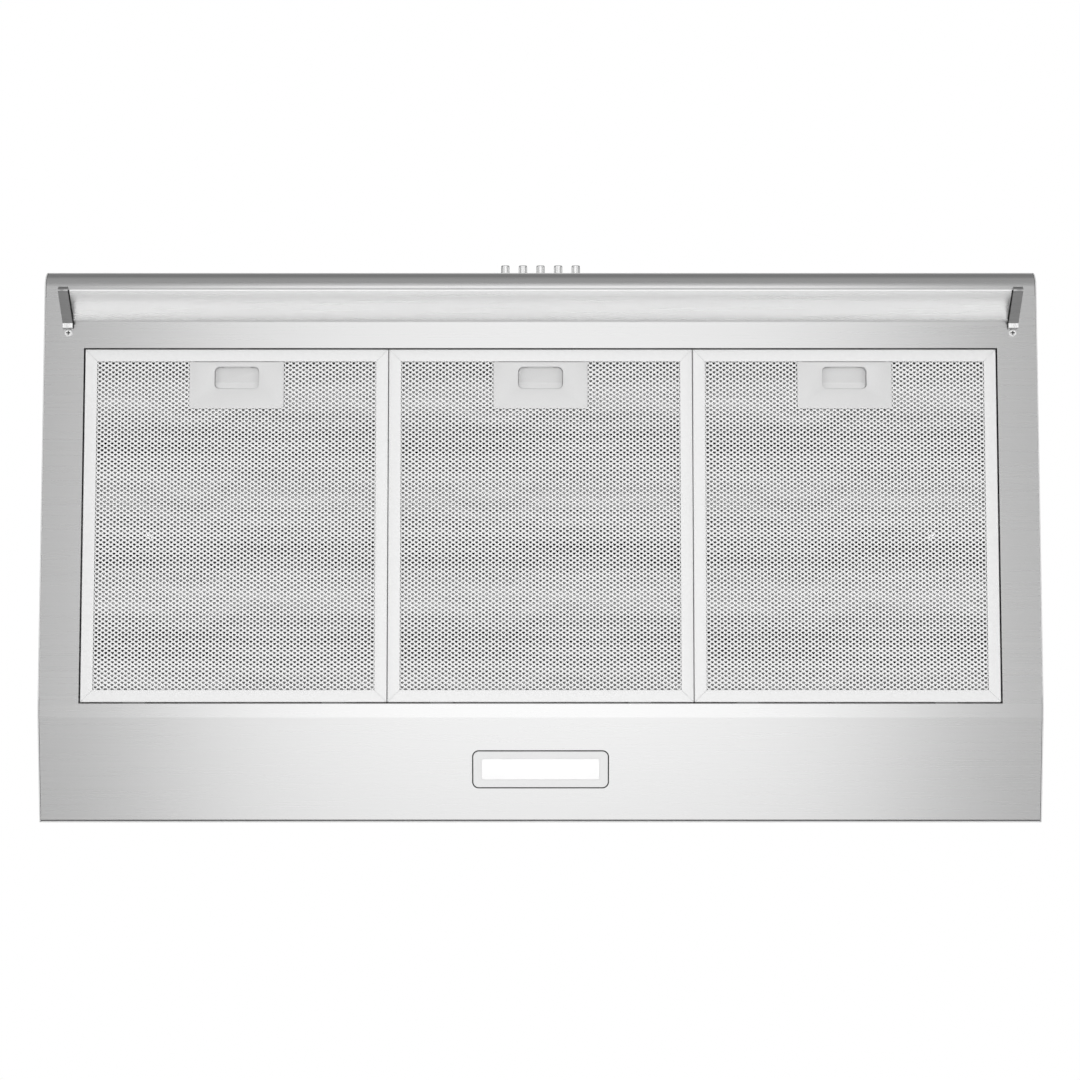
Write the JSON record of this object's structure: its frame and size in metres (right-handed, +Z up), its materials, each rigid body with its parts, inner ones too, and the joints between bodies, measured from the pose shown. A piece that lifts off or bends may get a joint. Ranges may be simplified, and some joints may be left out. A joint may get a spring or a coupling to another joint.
{
  "type": "under cabinet range hood",
  "caption": "Under cabinet range hood: brushed steel canopy, lift-out mesh filters, glass visor, LED lamp, push buttons, blower and round duct collar with damper.",
  "frame": {"origin": "centre of the four cabinet screw holes, on the flat top face that meets the cabinet", "axes": "+X to the right of a person facing the hood, +Y towards the wall, +Z up"},
  "size_m": [0.908, 0.5114, 0.195],
  "materials": {
    "brushed_steel": "fine brushed stainless steel, grain along the hood's width",
    "zinc_sheet": "satin galvanised sheet",
    "bright_screws": "bright zinc plate",
    "brass_screw": "plain",
    "clear_glass": "clear tempered glass, polished edges",
    "bracket_steel": "satin",
    "black_rubber": "matt",
    "white_plastic": "fine satin",
    "opal_plastic": "opal diffuser",
    "board_white": "white solder mask",
    "led_yellow": "phosphor",
    "black_plastic": "moulded",
    "motor_paint": "semi gloss",
    "lead_sheath": "PVC sheath",
    "button_chrome": "polished",
    "filter_aluminium": "bright satin aluminium",
    "mesh_aluminium": "bright expanded aluminium",
    "latch_plastic": "light grey moulding"
  },
  "bodies": {
    "root": {"bottom_pan": "brushed_steel", "top_canopy": "brushed_steel", "left_side_panel": "brushed_steel", "right_side_panel": "brushed_steel", "back_panel": "zinc_sheet", "filter_ledge_rear": "zinc_sheet", "filter_ledge_front": "zinc_sheet", "switch_bracket": "zinc_sheet", "scroll_housing": "zinc_sheet", "inlet_ring_left": "zinc_sheet", "inlet_ring_right": "zinc_sheet", "motor_bracket": "zinc_sheet", "duct_collar": "zinc_sheet", "junction_box": "zinc_sheet", "junction_cover": "zinc_sheet", "damper_rod": "zinc_sheet", "sheet_screws": "bright_screws", "visor_screws": "bright_screws", "switch_screws": "bright_screws", "blower_screws": "bright_screws", "ground_screw": "brass_screw", "visor_glass": "clear_glass", "visor_bracket_left": "bracket_steel", "visor_bracket_right": "bracket_steel", "visor_gaskets": "black_rubber", "lamp_gasket": "black_rubber", "lamp_housing": "white_plastic", "lamp_diffuser": "opal_plastic", "led_board": "board_white", "led_chips": "led_yellow", "led_driver": "white_plastic", "switch_housing": "black_plastic", "terminal_block": "white_plastic", "cable_bushing": "black_plastic", "motor_can": "motor_paint", "capacitor": "white_plastic", "lamp_lead": "lead_sheath", "switch_lead": "lead_sheath", "motor_lead": "lead_sheath"},
    "button_1": {"button_1": "button_chrome"},
    "button_2": {"button_2": "button_chrome"},
    "button_3": {"button_3": "button_chrome"},
    "button_4": {"button_4": "button_chrome"},
    "button_5": {"button_5": "button_chrome"},
    "filter_1": {"filter_1_frame": "filter_aluminium", "filter_1_mesh": "mesh_aluminium", "filter_1_handle": "filter_aluminium"},
    "latch_1": {"filter_1_latch": "latch_plastic"},
    "filter_2": {"filter_2_frame": "filter_aluminium", "filter_2_mesh": "mesh_aluminium", "filter_2_handle": "filter_aluminium"},
    "latch_2": {"filter_2_latch": "latch_plastic"},
    "filter_3": {"filter_3_frame": "filter_aluminium", "filter_3_mesh": "mesh_aluminium", "filter_3_handle": "filter_aluminium"},
    "latch_3": {"filter_3_latch": "latch_plastic"},
    "fan_rotor": {"impeller": "black_plastic", "motor_shaft": "bright_screws"},
    "damper_front": {"damper_flap_front": "zinc_sheet"},
    "damper_rear": {"damper_flap_rear": "zinc_sheet"}
  },
  "joints": [
    {"name": "button_1_press", "type": "slide", "parent": "root", "child": "button_1", "axis": [0, 1, 0], "range_m": [0, 0.0035], "stiffness_N_per_m": 300, "springref_m": -0.002},
    {"name": "button_2_press", "type": "slide", "parent": "root", "child": "button_2", "axis": [0, 1, 0], "range_m": [0, 0.0035], "stiffness_N_per_m": 300, "springref_m": -0.002},
    {"name": "button_3_press", "type": "slide", "parent": "root", "child": "button_3", "axis": [0, 1, 0], "range_m": [0, 0.0035], "stiffness_N_per_m": 300, "springref_m": -0.002},
    {"name": "button_4_press", "type": "slide", "parent": "root", "child": "button_4", "axis": [0, 1, 0], "range_m": [0, 0.0035], "stiffness_N_per_m": 300, "springref_m": -0.002},
    {"name": "button_5_press", "type": "slide", "parent": "root", "child": "button_5", "axis": [0, 1, 0], "range_m": [0, 0.0035], "stiffness_N_per_m": 300, "springref_m": -0.002},
    {"name": "filter_1_tilt", "type": "hinge", "parent": "root", "child": "filter_1", "pos_m": [-0.27735, 0.0407, -0.14985], "axis": [1, 0, 0], "range_deg": [0, 75]},
    {"name": "latch_1_slide", "type": "slide", "parent": "filter_1", "child": "latch_1", "axis": [0, 0.9973, -0.0732], "range_m": [0, 0.006], "stiffness_N_per_m": 250, "springref_m": -0.003},
    {"name": "filter_2_tilt", "type": "hinge", "parent": "root", "child": "filter_2", "pos_m": [0, 0.0407, -0.14985], "axis": [1, 0, 0], "range_deg": [0, 75]},
    {"name": "latch_2_slide", "type": "slide", "parent": "filter_2", "child": "latch_2", "axis": [0, 0.9973, -0.0732], "range_m": [0, 0.006], "stiffness_N_per_m": 250, "springref_m": -0.003},
    {"name": "filter_3_tilt", "type": "hinge", "parent": "root", "child": "filter_3", "pos_m": [0.27735, 0.0407, -0.14985], "axis": [1, 0, 0], "range_deg": [0, 75]},
    {"name": "latch_3_slide", "type": "slide", "parent": "filter_3", "child": "latch_3", "axis": [0, 0.9973, -0.0732], "range_m": [0, 0.006], "stiffness_N_per_m": 250, "springref_m": -0.003},
    {"name": "fan_spin", "type": "hinge", "parent": "root", "child": "fan_rotor", "pos_m": [0, -0.066, -0.07], "axis": [1, 0, 0], "continuous": true},
    {"name": "damper_front_open", "type": "hinge", "parent": "root", "child": "damper_front", "pos_m": [0, 0.062, 0.014], "axis": [-1, 0, 0], "range_deg": [0, 75]},
    {"name": "damper_rear_open", "type": "hinge", "parent": "root", "child": "damper_rear", "pos_m": [0, 0.062, 0.014], "axis": [1, 0, 0], "range_deg": [0, 75]}
  ]
}
